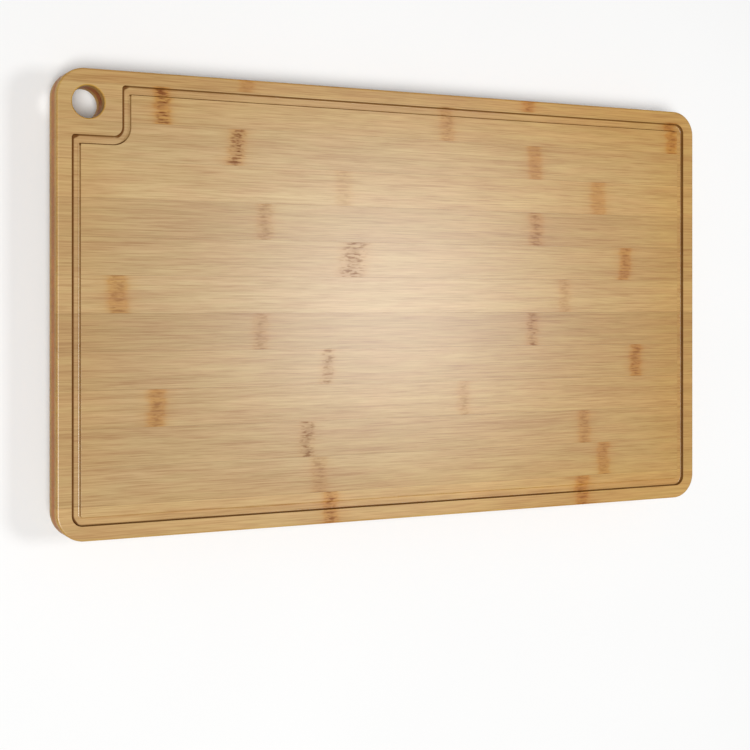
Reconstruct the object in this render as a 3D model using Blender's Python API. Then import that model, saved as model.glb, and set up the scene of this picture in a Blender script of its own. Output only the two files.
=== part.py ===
"""Three-ply bamboo cutting board with a juice groove, a hanging hole and four screwed-on rubber feet.

Metres, +Z up. The board lies flat on its feet. The origin is the centre of the footprint at the bottom
of the feet, +X runs along the long side, and +Y points to the rear long edge. The hanging hole is in
the rear left corner (-X, +Y). Each ply is glued up from strips that run along X.
"""

import math

import bmesh
import bpy

# Board
LENGTH = 0.500
WIDTH = 0.300
THICKNESS = 0.020
CORNER_RADIUS = 0.018
ARRIS_RADIUS = 0.0012
GAP = 0.0003  # glue lines, and the fit between any two pieces

# Plies and their strips, counted from the rear edge
TOP_PLY = 0.006
BOTTOM_PLY = 0.006
STRIP_WIDTH = 0.0245
FIRST_STRIP = 0.0086  # the part of the top and bottom plies' first strip left by trimming

# Juice groove in the top face, measured to its wall nearest the board's edge
GROOVE_MARGIN = 0.0097
GROOVE_WIDTH = 0.0056
GROOVE_DEPTH = 0.0026
NOTCH_MARGIN = 0.0424  # where the groove steps round the hanging hole
GROOVE_CORNER_RADIUS = 0.0070
NOTCH_ENTRY_RADIUS = 0.0020
NOTCH_INNER_RADIUS = 0.0062
SHARP_RADIUS = 0.0004

# Hanging hole
HOLE_RADIUS = 0.0104
HOLE_FROM_LEFT = 0.0202
HOLE_FROM_REAR = 0.0213
HOLE_ARRIS = 0.0008

# Rubber feet: fluted cones with a plain band at the bottom and a recess for the screw
FOOT_HEIGHT = 0.0185  # from the table to the underside of the board
FOOT_INSET_X = 0.0445
FOOT_INSET_Y = 0.0420
FOOT_TOP_RADIUS = 0.0175
FOOT_BOTTOM_RADIUS = 0.0136
FOOT_BAND_HEIGHT = 0.0042
FOOT_ROUND = 0.0008
FLUTES = 20
FLUTE_DEPTH = 0.0007
RECESS_RADIUS = 0.0075
ROOF_THICKNESS = 0.0060  # rubber between the washer and the board

# Steel washer and pan-head wood screw in each foot
WASHER_RADIUS = 0.0068
WASHER_THICKNESS = 0.0012
SHANK_RADIUS = 0.0021
SCREW_GRIP = 0.0120  # length of screw inside the wood
SCREW_POINT = 0.0040
HEAD_RADIUS = 0.0042
HEAD_HEIGHT = 0.0026
CROSS_SPAN = 0.0044
CROSS_WIDTH = 0.0010
CROSS_DEPTH = 0.0013

# Facets in a quarter turn, or in a full turn
CORNER_FACETS = 8
GROOVE_FACETS = 5
HOLE_FACETS = 40
FOOT_FACETS = 2 * FLUTES
TURNED_FACETS = 20

# Colours (linear RGB), roughness, metallic
LIGHT_BAMBOO = ((0.58, 0.37, 0.16), 0.45, 0.0)
CARBONISED_BAMBOO = ((0.42, 0.18, 0.04), 0.50, 0.0)
BLACK_RUBBER = ((0.018, 0.018, 0.020), 0.70, 0.0)
ZINC_STEEL = ((0.60, 0.60, 0.58), 0.35, 1.0)

# Worked out from the sizes above
LEFT, RIGHT = -LENGTH / 2, LENGTH / 2
FRONT, REAR = -WIDTH / 2, WIDTH / 2
UNDERSIDE = FOOT_HEIGHT
FACE = UNDERSIDE + THICKNESS
OVERSHOOT = 0.005  # how far a blank or a cutter runs past the surface it crosses
HOLE_CENTRE = (LEFT + HOLE_FROM_LEFT, REAR - HOLE_FROM_REAR)
PILOT_RADIUS = SHANK_RADIUS + GAP
FOOT_TOP = UNDERSIDE - GAP
RECESS_ROOF = FOOT_TOP - ROOF_THICKNESS
WASHER_TOP = RECESS_ROOF - GAP
HEAD_TOP = WASHER_TOP - WASHER_THICKNESS - GAP
SCREW_TIP = UNDERSIDE + SCREW_GRIP


def clear_scene():
    """Remove every object that the file opened with."""
    for leftover in list(bpy.data.objects):
        bpy.data.objects.remove(leftover, do_unlink=True)


def link_object(name, bm, finish=None):
    """Turn a bmesh into a named object in the scene, with a material of its own."""
    bmesh.ops.recalc_face_normals(bm, faces=bm.faces)
    mesh = bpy.data.meshes.new(name)
    bm.to_mesh(mesh)
    bm.free()
    piece = bpy.data.objects.new(name, mesh)
    bpy.context.scene.collection.objects.link(piece)
    if finish is not None:
        mesh.materials.append(make_material(name, *finish))
    return piece


def make_material(name, colour, roughness, metallic):
    """A plain Principled material."""
    material = bpy.data.materials.new(name + "_finish")
    material.use_nodes = True
    shader = material.node_tree.nodes["Principled BSDF"]
    shader.inputs["Base Color"].default_value = (*colour, 1.0)
    shader.inputs["Roughness"].default_value = roughness
    shader.inputs["Metallic"].default_value = metallic
    return material


def shade_round(piece):
    """Smooth shading with the real edges kept sharp."""
    piece.data.shade_smooth()
    piece.data.set_sharp_from_angle(angle=math.radians(35))


def as_cutter(piece):
    """Keep a guide solid out of the finished model."""
    piece.hide_render = True
    piece.display_type = "WIRE"
    return piece


def boolean(piece, operation, cutter):
    """Add a live Boolean to a piece."""
    modifier = piece.modifiers.new(operation.title() + "_" + cutter.name, "BOOLEAN")
    modifier.operation = operation
    modifier.object = cutter
    modifier.solver = "EXACT"


def stacked_rings(rings, joined=False):
    """A bmesh skin over rings of points, capped at both ends, or joined last ring to first."""
    bm = bmesh.new()
    loops = [[bm.verts.new(point) for point in ring] for ring in rings]
    pairs = list(zip(loops, loops[1:]))
    if joined:
        pairs.append((loops[-1], loops[0]))
    else:
        bm.faces.new(loops[0])
        bm.faces.new(loops[-1])
    for lower, upper in pairs:
        for i, corner in enumerate(lower):
            j = (i + 1) % len(lower)
            bm.faces.new((corner, lower[j], upper[j], upper[i]))
    return bm


def circle(centre, radius, z, facets):
    """A horizontal ring of points."""
    turn = 2 * math.pi / facets
    return [
        (centre[0] + radius * math.cos(i * turn), centre[1] + radius * math.sin(i * turn), z)
        for i in range(facets)
    ]


def fillet_outline(corners, facets):
    """Points of a closed outline from (x, y, radius) corners, each rounded by an arc."""
    points = []
    count = len(corners)
    for i, (x, y, radius) in enumerate(corners):
        before, after = corners[i - 1], corners[(i + 1) % count]
        into = math.atan2(y - before[1], x - before[0])
        out = math.atan2(after[1] - y, after[0] - x)
        turn = (out - into + math.pi) % (2 * math.pi) - math.pi
        side = math.copysign(1.0, turn)
        setback = radius * math.tan(abs(turn) / 2)
        start_x = x - setback * math.cos(into)
        start_y = y - setback * math.sin(into)
        centre_x = start_x - side * radius * math.sin(into)
        centre_y = start_y + side * radius * math.cos(into)
        for step in range(facets + 1):
            angle = into + turn * step / facets
            lift = side * radius
            points.append((centre_x + lift * math.sin(angle), centre_y - lift * math.cos(angle)))
    return points


def board_outline(inset):
    """The board's rounded rectangle, moved in by an inset."""
    radius = CORNER_RADIUS - inset
    corners = [
        (LEFT + inset, FRONT + inset, radius),
        (RIGHT - inset, FRONT + inset, radius),
        (RIGHT - inset, REAR - inset, radius),
        (LEFT + inset, REAR - inset, radius),
    ]
    return fillet_outline(corners, CORNER_FACETS)


def make_blank():
    """The whole board as one solid with eased edges, which trims every strip to the outline."""
    eased = ARRIS_RADIUS * (1 - math.sqrt(0.5))
    levels = [
        (UNDERSIDE, ARRIS_RADIUS),
        (UNDERSIDE + eased, eased),
        (UNDERSIDE + ARRIS_RADIUS, 0.0),
        (FACE - ARRIS_RADIUS, 0.0),
        (FACE - eased, eased),
        (FACE, ARRIS_RADIUS),
    ]
    rings = [[(x, y, z) for x, y in board_outline(inset)] for z, inset in levels]
    return as_cutter(link_object("board_blank", stacked_rings(rings)))


def groove_wall(offset):
    """One wall line of the groove, at an offset from its wall nearest the board's edge."""
    edge = GROOVE_MARGIN + offset
    notch = NOTCH_MARGIN + offset
    corner = max(GROOVE_CORNER_RADIUS - offset, SHARP_RADIUS)
    entry = max(NOTCH_ENTRY_RADIUS - offset, SHARP_RADIUS)
    corners = [
        (LEFT + edge, FRONT + edge, corner),
        (RIGHT - edge, FRONT + edge, corner),
        (RIGHT - edge, REAR - edge, corner),
        (LEFT + notch, REAR - edge, entry),
        (LEFT + notch, REAR - notch, NOTCH_INNER_RADIUS + offset),
        (LEFT + edge, REAR - notch, entry),
    ]
    return fillet_outline(corners, GROOVE_FACETS)


def make_groove_cutter():
    """The groove's channel: straight walls and a floor with rounded corners, carried round the path."""
    near, far = groove_wall(0.0), groove_wall(GROOVE_WIDTH)
    above = -OVERSHOOT / GROOVE_DEPTH
    half = [(0.0, above), (0.0, 0.65), (0.06, 0.88), (0.18, 1.0)]
    shape = half + [(1.0 - across, deep) for across, deep in reversed(half)]
    rings = []
    for across, deep in shape:
        z = FACE - deep * GROOVE_DEPTH
        ring = []
        for (near_x, near_y), (far_x, far_y) in zip(near, far):
            ring.append((near_x + across * (far_x - near_x), near_y + across * (far_y - near_y), z))
        rings.append(ring)
    return as_cutter(link_object("groove_cutter", stacked_rings(rings, joined=True)))


def make_hole_cutter():
    """The hanging hole, flared a little where it meets both faces."""
    levels = [
        (UNDERSIDE - OVERSHOOT, HOLE_RADIUS + HOLE_ARRIS + OVERSHOOT),
        (UNDERSIDE + HOLE_ARRIS, HOLE_RADIUS),
        (FACE - HOLE_ARRIS, HOLE_RADIUS),
        (FACE + OVERSHOOT, HOLE_RADIUS + HOLE_ARRIS + OVERSHOOT),
    ]
    rings = [circle(HOLE_CENTRE, radius, z, HOLE_FACETS) for z, radius in levels]
    return as_cutter(link_object("hole_cutter", stacked_rings(rings)))


def make_pilot_cutter(place, centre):
    """The pilot hole for one foot's screw, up from the underside."""
    rings = [
        circle(centre, PILOT_RADIUS, UNDERSIDE - OVERSHOOT, TURNED_FACETS),
        circle(centre, PILOT_RADIUS, SCREW_TIP + GAP, TURNED_FACETS),
    ]
    return as_cutter(link_object("pilot_cutter_" + place, stacked_rings(rings)))


def strip_edges(first):
    """Distances of a ply's glue lines from the rear edge, with the two board edges at the ends."""
    lines = math.ceil((WIDTH - first) / STRIP_WIDTH)
    return [0.0] + [first + line * STRIP_WIDTH for line in range(lines)] + [WIDTH]


def make_ply(ply, edges, bottom, top, finish, cutters):
    """One ply's strips, each cut from the board's blank and then by the cutters that reach it."""
    for number, (rear, front) in enumerate(zip(edges, edges[1:]), start=1):
        y_high = REAR - rear - GAP / 2 if rear > 0 else REAR + OVERSHOOT
        y_low = REAR - front + GAP / 2 if front < WIDTH else FRONT - OVERSHOOT
        bm = bmesh.new()
        bmesh.ops.create_cube(bm, size=1.0)
        bmesh.ops.scale(bm, vec=(LENGTH + 2 * OVERSHOOT, y_high - y_low, top - bottom), verts=bm.verts)
        bmesh.ops.translate(bm, vec=(0.0, (y_low + y_high) / 2, (bottom + top) / 2), verts=bm.verts)
        strip = link_object(f"{ply}_strip_{number:02d}", bm, finish)
        boolean(strip, "INTERSECT", bpy.data.objects["board_blank"])
        for cutter, (lowest, highest) in cutters:
            if lowest < y_high and highest > y_low:
                boolean(strip, "DIFFERENCE", cutter)


def foot_ring(centre, radius, z, depth):
    """A ring of the foot's outside, whose every other point is a flute, sunk by the given depth."""
    turn = 2 * math.pi / FOOT_FACETS
    ring = []
    for i in range(FOOT_FACETS):
        reach = radius - depth * (i % 2)
        ring.append((centre[0] + reach * math.cos(i * turn), centre[1] + reach * math.sin(i * turn), z))
    return ring


def make_foot(place, centre):
    """A tapered rubber foot, with a bore for the screw and a recess from below for washer and head."""
    taper = (FOOT_TOP_RADIUS - FOOT_BOTTOM_RADIUS) / FOOT_TOP
    band_radius = FOOT_BOTTOM_RADIUS + taper * FOOT_BAND_HEIGHT
    flute_start = FOOT_BAND_HEIGHT + FLUTE_DEPTH
    bore_radius = SHANK_RADIUS + GAP
    rings = [
        foot_ring(centre, RECESS_RADIUS, 0.0, 0.0),
        foot_ring(centre, FOOT_BOTTOM_RADIUS - FOOT_ROUND, 0.0, 0.0),
        foot_ring(centre, FOOT_BOTTOM_RADIUS, FOOT_ROUND, 0.0),
        foot_ring(centre, band_radius, FOOT_BAND_HEIGHT, 0.0),
        foot_ring(centre, band_radius + taper * FLUTE_DEPTH, flute_start, FLUTE_DEPTH),
        foot_ring(centre, FOOT_TOP_RADIUS, FOOT_TOP, FLUTE_DEPTH),
        foot_ring(centre, bore_radius, FOOT_TOP, 0.0),
        foot_ring(centre, bore_radius, RECESS_ROOF, 0.0),
        foot_ring(centre, RECESS_RADIUS, RECESS_ROOF, 0.0),
    ]
    shade_round(link_object("rubber_foot_" + place, stacked_rings(rings, joined=True), BLACK_RUBBER))


def make_washer(place, centre):
    """The flat steel washer that spreads the screw's pull over the rubber."""
    bottom = WASHER_TOP - WASHER_THICKNESS
    bore_radius = SHANK_RADIUS + GAP
    rings = [
        circle(centre, bore_radius, bottom, TURNED_FACETS),
        circle(centre, WASHER_RADIUS, bottom, TURNED_FACETS),
        circle(centre, WASHER_RADIUS, WASHER_TOP, TURNED_FACETS),
        circle(centre, bore_radius, WASHER_TOP, TURNED_FACETS),
    ]
    shade_round(link_object("foot_washer_" + place, stacked_rings(rings, joined=True), ZINC_STEEL))


def make_screw(place, centre):
    """A pan-head wood screw, head down, with a cross recess in its head."""
    crown = HEAD_TOP - HEAD_HEIGHT
    levels = [
        (crown, HEAD_RADIUS * 0.62),
        (crown + HEAD_HEIGHT * 0.22, HEAD_RADIUS * 0.88),
        (crown + HEAD_HEIGHT * 0.60, HEAD_RADIUS),
        (HEAD_TOP, HEAD_RADIUS),
        (HEAD_TOP, SHANK_RADIUS),
        (SCREW_TIP - SCREW_POINT, SHANK_RADIUS),
        (SCREW_TIP, SHANK_RADIUS * 0.15),
    ]
    rings = [circle(centre, radius, z, TURNED_FACETS) for z, radius in levels]
    screw = link_object("foot_screw_" + place, stacked_rings(rings), ZINC_STEEL)
    shade_round(screw)
    arms = [(CROSS_SPAN, CROSS_WIDTH), (CROSS_WIDTH, CROSS_SPAN)]
    for arm, (span_x, span_y) in enumerate(arms, start=1):
        bm = bmesh.new()
        bmesh.ops.create_cube(bm, size=1.0)
        bmesh.ops.scale(bm, vec=(span_x, span_y, 2 * CROSS_DEPTH), verts=bm.verts)
        bmesh.ops.translate(bm, vec=(*centre, crown), verts=bm.verts)
        boolean(screw, "DIFFERENCE", as_cutter(link_object(f"cross_cutter_{place}_{arm}", bm)))


def main():
    """Build the board ply by ply, then its feet."""
    clear_scene()
    make_blank()
    groove = (make_groove_cutter(), (FRONT, REAR))
    reach = HOLE_RADIUS + HOLE_ARRIS
    hole = (make_hole_cutter(), (HOLE_CENTRE[1] - reach, HOLE_CENTRE[1] + reach))
    feet_x = {"left": LEFT + FOOT_INSET_X, "right": RIGHT - FOOT_INSET_X}
    feet_y = {"front": FRONT + FOOT_INSET_Y, "rear": REAR - FOOT_INSET_Y}
    pilots = []
    for row, y in feet_y.items():
        for side, x in feet_x.items():
            place = f"{row}_{side}"
            make_foot(place, (x, y))
            make_washer(place, (x, y))
            make_screw(place, (x, y))
            pilots.append((make_pilot_cutter(place, (x, y)), (y - PILOT_RADIUS, y + PILOT_RADIUS)))

    core_bottom = UNDERSIDE + BOTTOM_PLY
    core_top = FACE - TOP_PLY
    outer_edges = strip_edges(FIRST_STRIP)
    core_edges = strip_edges(FIRST_STRIP + STRIP_WIDTH / 2)
    above = FACE + 2 * OVERSHOOT
    below = UNDERSIDE - 2 * OVERSHOOT
    under = [hole, *pilots]
    make_ply("top", outer_edges, core_top + GAP / 2, above, LIGHT_BAMBOO, [groove, hole])
    make_ply("core", core_edges, core_bottom + GAP / 2, core_top - GAP / 2, CARBONISED_BAMBOO, under)
    make_ply("bottom", outer_edges, below, core_bottom - GAP / 2, LIGHT_BAMBOO, under)


if __name__ == "__main__":
    main()
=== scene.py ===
"""Three-ply bamboo cutting board: the visual model, built round the packed part.

The board is glued up from strips, as the part is: thirteen light strips in the top ply, thirteen
carbonised ones in the core and thirteen light ones below. A juice groove steps round a hanging hole, and
four fluted rubber feet are held by washers and screws. Every surface is a grid worked out with numpy.
The file is laid out as an add-on: its properties hold the sizes and colours, its operators make the
pieces, and its panel lists them. Units are metres, with the board lying flat on its feet, its long side
along X, its rear edge at +Y and the hanging hole in the rear left corner.
"""

import math

import bmesh
import bpy
import numpy as np
from bpy.props import FloatProperty, FloatVectorProperty, IntProperty, PointerProperty
from bpy.types import Operator, Panel, PropertyGroup
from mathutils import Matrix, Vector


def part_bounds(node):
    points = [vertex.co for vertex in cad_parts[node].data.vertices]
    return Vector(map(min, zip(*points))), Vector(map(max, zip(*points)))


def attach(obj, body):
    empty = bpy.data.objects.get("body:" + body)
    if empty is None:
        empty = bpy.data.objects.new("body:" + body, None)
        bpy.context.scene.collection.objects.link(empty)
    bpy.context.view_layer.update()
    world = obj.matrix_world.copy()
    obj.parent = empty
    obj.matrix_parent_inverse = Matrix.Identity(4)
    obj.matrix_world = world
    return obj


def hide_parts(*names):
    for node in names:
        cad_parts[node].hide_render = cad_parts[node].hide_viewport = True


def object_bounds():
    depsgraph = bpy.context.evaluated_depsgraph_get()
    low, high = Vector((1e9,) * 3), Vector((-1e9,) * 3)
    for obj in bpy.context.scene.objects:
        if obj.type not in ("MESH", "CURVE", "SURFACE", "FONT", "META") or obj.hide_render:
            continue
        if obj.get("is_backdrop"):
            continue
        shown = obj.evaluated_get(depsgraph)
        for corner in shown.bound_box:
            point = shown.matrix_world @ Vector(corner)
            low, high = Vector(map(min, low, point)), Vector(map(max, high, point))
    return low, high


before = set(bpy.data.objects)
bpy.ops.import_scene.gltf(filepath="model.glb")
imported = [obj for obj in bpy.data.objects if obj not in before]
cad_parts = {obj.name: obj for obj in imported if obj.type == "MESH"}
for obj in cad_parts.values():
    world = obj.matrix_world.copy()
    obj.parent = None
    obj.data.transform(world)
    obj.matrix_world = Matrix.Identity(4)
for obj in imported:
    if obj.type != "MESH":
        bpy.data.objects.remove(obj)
part_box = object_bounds()

bl_info = {
    "name": "Bamboo Cutting Board",
    "version": (1, 0, 0),
    "blender": (4, 5, 0),
    "location": "3D View > Sidebar > Cutting Board",
    "description": "Makes a laminated bamboo cutting board with a juice groove and four rubber feet",
    "category": "Add Mesh",
}

BODY = "root"
MM = 0.001

# The board's own faces, from the part
NODES = sorted(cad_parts)
STRIPS = {ply: [n for n in NODES if n.startswith(ply + "_strip_")] for ply in ("top", "core", "bottom")}
PLACES = [n.removeprefix("rubber_foot_") for n in NODES if n.startswith("rubber_foot_")]
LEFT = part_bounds("top_strip_02")[0].x
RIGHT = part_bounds("top_strip_02")[1].x
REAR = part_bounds(STRIPS["top"][0])[1].y
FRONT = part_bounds(STRIPS["top"][-1])[0].y
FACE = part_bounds("top_strip_02")[1].z
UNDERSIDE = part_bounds("bottom_strip_02")[0].z
PART_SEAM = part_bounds("top_strip_01")[0].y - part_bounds("top_strip_02")[1].y
OVERSHOOT = 5 * MM  # how far a blank or a cutter runs past the surface it crosses

# What a face was made by, stored along U of the map that every strip carries
PLANED = 0.0
SAWN = -1.0  # the board's outside, where it was cut and sanded to its outline
ROUTED = 1.0  # the groove, from its outer wall at 1 to its inner wall at 2
BORED = 3.0  # the hanging hole and the screws' pilot holes
TOOL_MAP = "Machining"

# Every strip of the top ply, from the rear: how light it is, how warm, and its knuckles, each with its
# distance from the left end and its half width in mm, how stained and how spotted it is, and its slant
TOP_LAYOUT = [
    (0.97, 1.08, [(127, 5, 0.7, 0.4, 0.0), (349, 5, 1.0, 0.5, 0.1)]),
    (1.05, 0.98, [(69, 5.5, 1.0, 1.0, 0.0), (280, 5.5, 0.6, 0.4, 0.0), (479, 5, 1.0, 0.5, 0.0)]),
    (1.04, 0.97, [(120, 6, 0.70, 1.0, 0.1), (354, 5.5, 0.9, 0.3, 0.0)]),
    (1.09, 0.97, [(199, 6, 0.3, 0.2, 0.0), (410, 6, 0.8, 0.2, 0.0)]),
    (0.94, 1.02, [(140, 6, 0.5, 0.4, 0.0), (355, 6, 0.7, 0.5, 0.0)]),
    (0.99, 0.99, [(206, 11, 0.45, 0.7, 0.14), (435, 5, 1.0, 0.5, 0.14)]),
    (1.06, 0.95, [(39, 6.5, 0.9, 0.45, 0.0), (380, 5, 0.4, 0.3, 0.0)]),
    (0.87, 1.06, [(137, 5.5, 0.5, 0.4, 0.0), (352, 5, 0.6, 0.65, 0.0)]),
    (0.94, 1.02, [(186, 5, 0.4, 0.6, 0.05), (445, 5, 1.0, 0.6, 0.0)]),
    (1.00, 1.00, [(65, 6, 1.0, 0.45, 0.0), (294, 5, 0.4, 0.3, 0.0)]),
    (0.96, 1.01, [(171, 6, 0.3, 0.75, 0.0), (397, 5, 0.7, 0.4, 0.0)]),
    (1.01, 0.97, [(180, 6, 0.4, 0.4, 0.0), (415, 5, 0.8, 0.4, 0.0)]),
    (1.12, 0.96, [(189, 5.5, 0.9, 0.85, 0.0), (396, 5.5, 1.0, 0.6, 0.0)]),
]

# The joint of the stalk that shows in the core ply on the front edge
CORE_FRONT = [(431, 5, 0.7, 0.8, 0.0)]

# Each strip reads the fibre noise this much further on, in metres, times its number
STRIP_SHIFT = (0.731, 0.377, 0.193)


def measure(name, description, default, least, unit="NONE"):
    """A number in one of the scene's units."""
    return FloatProperty(
        name=name, description=description, default=default, min=least, precision=5, unit=unit,
    )


def length(name, description, millimetres, least=0.1):
    """A size, given in millimetres and held in metres."""
    return measure(name, description, millimetres * MM, least * MM, "LENGTH")


def fraction(name, description, default, least=0.05):
    """A share of one."""
    return FloatProperty(
        name=name, description=description, default=default, min=least, max=1.0, subtype="FACTOR",
    )


def pigment(name, description, *default):
    """A colour, given as linear red, green and blue."""
    return FloatVectorProperty(
        name=name, description=description, default=default, min=0.0, max=1.0, subtype="COLOR",
    )


class BoardShape(PropertyGroup):
    """Sizes of the wooden board."""

    seam: length("Glue line", "Width left between two glued strips", 0.04, least=0)
    corner_radius: length("Corner radius", "Radius of the board's four corners", 18, least=2)
    arris_radius: length("Eased edge", "Radius sanded on the outer edges", 1.2)
    groove_margin: length("Groove margin", "From the board's edge to the groove's outer wall", 9.7, least=2)
    groove_width: length("Groove width", "Between the groove's two walls", 5.6, least=1)
    groove_depth: length("Groove depth", "Depth of the groove's floor", 2.6, least=0.5)
    groove_corner: length("Groove corner", "Radius of its outer wall in the board's corners", 7, least=0.5)
    floor_radius: length("Cutter radius", "Radius that the bit leaves along the groove's floor", 0.9)
    lip_radius: length("Groove lip", "Radius sanded on the groove's upper edges", 0.22, least=0.05)
    notch_margin: length("Notch margin", "From the board's edge to the groove by the hole", 42.4, least=10)
    notch_entry: length("Notch entry", "Radius of the outer wall at the notch's two ends", 2, least=0.4)
    notch_turn: length("Notch turn", "Radius of the outer wall inside the notch", 6.2, least=0.4)
    hole_radius: length("Hole radius", "Radius of the hanging hole", 10.4, least=2)
    hole_from_left: length("Hole from left", "From the left edge to the hole's centre", 20.2, least=10)
    hole_from_rear: length("Hole from rear", "From the rear edge to the hole's centre", 21.3, least=10)
    hole_easing: length("Hole easing", "Radius sanded on the rims of the hole", 0.8)


class BambooFinish(PropertyGroup):
    """Colours and polish of the bamboo."""

    light: pigment("Light bamboo", "Pith between the fibres of the outer plies", 0.556, 0.384, 0.163)
    light_fibre: pigment("Light bamboo fibre", "Fibre bundles of the outer plies", 0.362, 0.199, 0.059)
    carbonised: pigment("Carbonised bamboo", "Pith between the fibres of the core ply", 0.530, 0.220, 0.055)
    carbonised_fibre: pigment("Carbonised fibre", "Fibre bundles of the core ply", 0.300, 0.098, 0.018)
    knuckle: pigment("Knuckle", "What a dark spot in a joint leaves of each colour", 0.42, 0.25, 0.12)
    halo: pigment("Knuckle halo", "What the stain round a joint leaves of each colour", 0.91, 0.66, 0.22)
    # Burnt wood's colour, which also paints the shadow in the groove
    scorch_and_shadow: pigment("Scorch and shadow", "Wood burnt by the router bit", 0.140, 0.050, 0.006)
    cut: pigment("Cut wood", "What end grain and sawn wood leave of each colour", 1.0, 0.93, 0.58)
    groove: pigment("Groove", "What the groove's rough wood leaves of each colour", 0.93, 0.82, 0.80)
    # A warmer, darker tint towards the right end and at the rim
    warm_drift: pigment("Warmth", "What most daylight leaves of each colour", 1.0, 0.89, 0.59)
    polish: fraction("Roughness", "Roughness of the bare wood", 0.46)
    lacquer: fraction("Lacquer", "How much of the face its satin lacquer covers", 1.0, least=0.0)
    lacquer_roughness: fraction("Lacquer roughness", "Roughness of the satin lacquer", 0.30)


class FootShape(PropertyGroup):
    """Sizes and finish of the rubber feet."""

    flutes: IntProperty(name="Flutes", description="Grooves round each foot", default=20, min=6)
    flute_depth: length("Flute depth", "Depth of a flute", 0.7, least=0)
    bottom_radius: length("Bottom radius", "Radius of the foot where it stands", 13.6, least=2)
    band_height: length("Band height", "Height of the plain band at the bottom", 4.2, least=0.5)
    recess_radius: length("Recess radius", "Radius of the recess for the screw's head", 7.5, least=2)
    roof: length("Roof", "Rubber between the washer and the board", 6, least=1)
    bore_radius: length("Bore radius", "Radius of the screw's hole through the rubber", 2.4, least=1)
    colour: pigment("Rubber", "Colour of the rubber", 0.0062, 0.0066, 0.0070)
    roughness: fraction("Roughness", "Roughness of the rubber", 0.58)


class HardwareShape(PropertyGroup):
    """Sizes and finish of the washers and screws."""

    shank_radius: length("Shank radius", "Radius of the screw at its thread's crest", 2.1, least=0.5)
    pitch: length("Thread pitch", "Rise of the thread in one turn", 1.6, least=0.3)
    thread_depth: length("Thread depth", "Depth of the thread", 0.55, least=0)
    head_height: length("Head height", "Height of the pan head", 2.6, least=0.5)
    cross_span: length("Cross span", "Span of the cross recess", 4.4, least=1)
    cross_width: length("Cross width", "Width of one arm of the cross recess", 1, least=0.3)
    cross_depth: length("Cross depth", "Depth of the cross recess", 1.3, least=0.3)
    colour: pigment("Zinc", "Colour of the zinc plating", 0.62, 0.63, 0.62)
    roughness: fraction("Roughness", "Roughness of the zinc plating", 0.30)


class StudioSetup(PropertyGroup):
    """Floor, lights and camera."""

    floor: pigment("Floor", "Colour of the floor", 0.92, 0.92, 0.915)
    room: measure("Room light", "Strength of the even light", 0.18, 0.0)
    key: measure("Key light", "Power of the light from the front left", 111.0, 0.0, "POWER")
    overhead: measure("Overhead light", "Power of the light that the face reflects", 6.0, 0.0, "POWER")
    lens: measure("Lens", "Focal length in millimetres", 67.9, 10.0)
    distance: measure("Camera distance", "From the centre of the face to the camera", 0.9977, 0.2, "LENGTH")
    lean: measure("Camera lean", "Off overhead, to the left", math.radians(27.62), 0.0, "ROTATION")
    tilt: measure("Camera tilt", "Line of sight from straight down", math.radians(26.2), 0.0, "ROTATION")
    rise: measure("Camera rise", "Upward shift of the picture, as a share of its width", -0.0937, -1.0)


# Surfaces


def filleted(corners, facets):
    """Closed outline through (x, y, radius) corners, as points (n, 2).

    Each corner's arc begins radius times tan(half the turn) before the corner, is centred one radius to
    the inside of the run that leads in, and sweeps through the turn between the two runs.
    """
    corners = np.asarray(corners, float)
    here, radius = corners[:, :2], corners[:, 2]
    run_in = here - np.roll(here, 1, axis=0)
    run_out = np.roll(here, -1, axis=0) - here
    heading = np.arctan2(run_in[:, 1], run_in[:, 0])
    leaving = np.arctan2(run_out[:, 1], run_out[:, 0])
    turn = (leaving - heading + np.pi) % (2 * np.pi) - np.pi
    reach = np.sign(turn) * radius
    setback = radius * np.tan(np.abs(turn) / 2)
    centre_x = here[:, 0] - setback * np.cos(heading) - reach * np.sin(heading)
    centre_y = here[:, 1] - setback * np.sin(heading) + reach * np.cos(heading)
    angle = heading[:, None] + turn[:, None] * np.linspace(0, 1, facets + 1)
    x = centre_x[:, None] + reach[:, None] * np.sin(angle)
    y = centre_y[:, None] - reach[:, None] * np.cos(angle)
    return np.stack((x, y), axis=-1).reshape(-1, 2)


def quarter(start, end, centre_side, steps):
    """Points of a quarter of an ellipse from start to end, both included, in a profile's own plane.

    centre_side 0 puts the centre at (end's first, start's second) and 1 at (start's first, end's second):
    the curve leaves along one axis and arrives along the other, by the cosine and sine of an angle.
    """
    angle = np.linspace(0, np.pi / 2, steps + 1)
    start, end = np.asarray(start, float), np.asarray(end, float)
    if centre_side == 0:
        first = end[0] + (start[0] - end[0]) * np.cos(angle)
        second = start[1] + (end[1] - start[1]) * np.sin(angle)
    else:
        first = start[0] + (end[0] - start[0]) * np.sin(angle)
        second = end[1] + (start[1] - end[1]) * np.cos(angle)
    return np.stack((first, second), axis=-1)


def turned(profile, centre, facets):
    """Rings of a turned shape: a profile of (radius, height) points carried once round an upright axis."""
    profile = np.asarray(profile, float)
    angle = np.linspace(0, 2 * np.pi, facets, endpoint=False)
    x = centre[0] + profile[:, :1] * np.cos(angle)
    y = centre[1] + profile[:, :1] * np.sin(angle)
    z = np.broadcast_to(profile[:, 1:], x.shape)
    return np.stack((x, y, z), axis=-1)


def axis_of(low, high):
    """Where the upright axis of a round part stands, from the part's box."""
    return np.array(((low.x + high.x) / 2, (low.y + high.y) / 2))


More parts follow.
